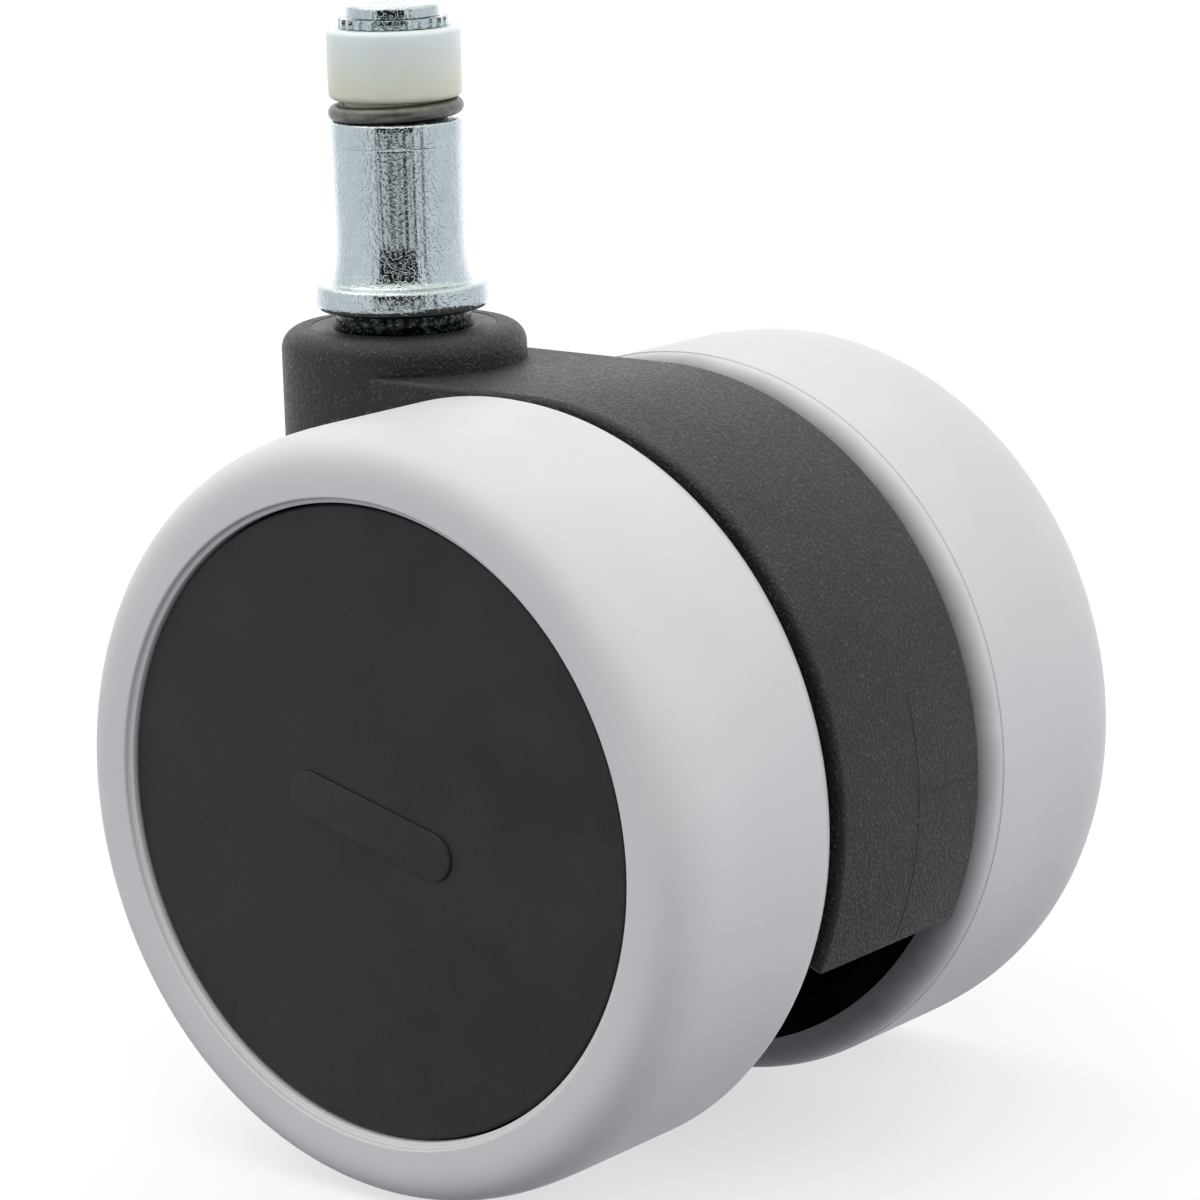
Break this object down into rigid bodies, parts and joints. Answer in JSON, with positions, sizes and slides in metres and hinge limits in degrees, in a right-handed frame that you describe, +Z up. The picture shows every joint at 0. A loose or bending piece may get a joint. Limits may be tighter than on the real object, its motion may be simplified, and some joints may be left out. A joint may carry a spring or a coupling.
{
  "type": "caster wheel",
  "caption": "Twin-wheel swivel caster for an office chair: grip-ring stem, hooded black housing, soft grey tyres, dark flush caps, brake that holds while unloaded.",
  "frame": {"origin": "on the swivel axis, level with the upper face of the stem's flange, where the chair's base rests", "axes": "+Z up along the swivel axis, +X towards the trailing wheels, Y along the axle"},
  "size_m": [0.06, 0.0586, 0.0882],
  "materials": {
    "zinc_steel": "bright zinc plating, slightly bluish, worn by handling",
    "spring_steel": "dull oiled spring steel",
    "milky_nylon": "translucent natural nylon",
    "black_nylon": "glass-filled nylon with a coarse moulded grain",
    "cap_plastic": "fine satin grain",
    "soft_tread": "smooth matt light grey polyurethane",
    "bearing_resin": "smooth acetal",
    "friction_rubber": "matt friction rubber"
  },
  "bodies": {
    "stem": {"stem_sleeve": "zinc_steel", "nylon_bush": "milky_nylon", "snap_ring": "spring_steel", "thrust_washer": "zinc_steel"},
    "core": {"core_pin": "zinc_steel", "lock_washer": "zinc_steel", "pin_clip": "spring_steel", "stem_spring": "spring_steel"},
    "housing": {"housing": "black_nylon", "swivel_bush": "bearing_resin", "axle": "zinc_steel", "brake_pivot": "zinc_steel", "left_spacer": "zinc_steel", "right_spacer": "zinc_steel", "left_axle_clip": "spring_steel", "right_axle_clip": "spring_steel"},
    "brake": {"brake_lever": "black_nylon", "left_brake_pad": "friction_rubber", "right_brake_pad": "friction_rubber"},
    "left_wheel": {"left_tyre": "soft_tread", "left_hub": "black_nylon", "left_cap": "cap_plastic", "left_bearing": "bearing_resin"},
    "right_wheel": {"right_tyre": "soft_tread", "right_hub": "black_nylon", "right_cap": "cap_plastic", "right_bearing": "bearing_resin"}
  },
  "joints": [
    {"name": "core_slide", "type": "slide", "parent": "stem", "child": "core", "axis": [0, 0, 1], "range_m": [0, 0.00135], "stiffness_N_per_m": 6000, "springref_m": -0.005, "deforming": ["stem_spring"]},
    {"name": "swivel", "type": "hinge", "parent": "core", "child": "housing", "pos_m": [0, 0, -0.018], "axis": [0, 0, 1], "continuous": true},
    {"name": "left_roll", "type": "hinge", "parent": "housing", "child": "left_wheel", "pos_m": [0.02, 0, -0.036], "axis": [0, 1, 0], "continuous": true},
    {"name": "right_roll", "type": "hinge", "parent": "housing", "child": "right_wheel", "pos_m": [0.02, 0, -0.036], "axis": [0, 1, 0], "continuous": true},
    {"name": "brake_release", "type": "hinge", "parent": "housing", "child": "brake", "pos_m": [0.0125, 0, -0.012], "axis": [0, 1, 0], "range_deg": [-12, 0]}
  ],
  "couplings": [
    {"joint": "brake_release", "follows": "core_slide", "rad_per_m": -153.8}
  ]
}
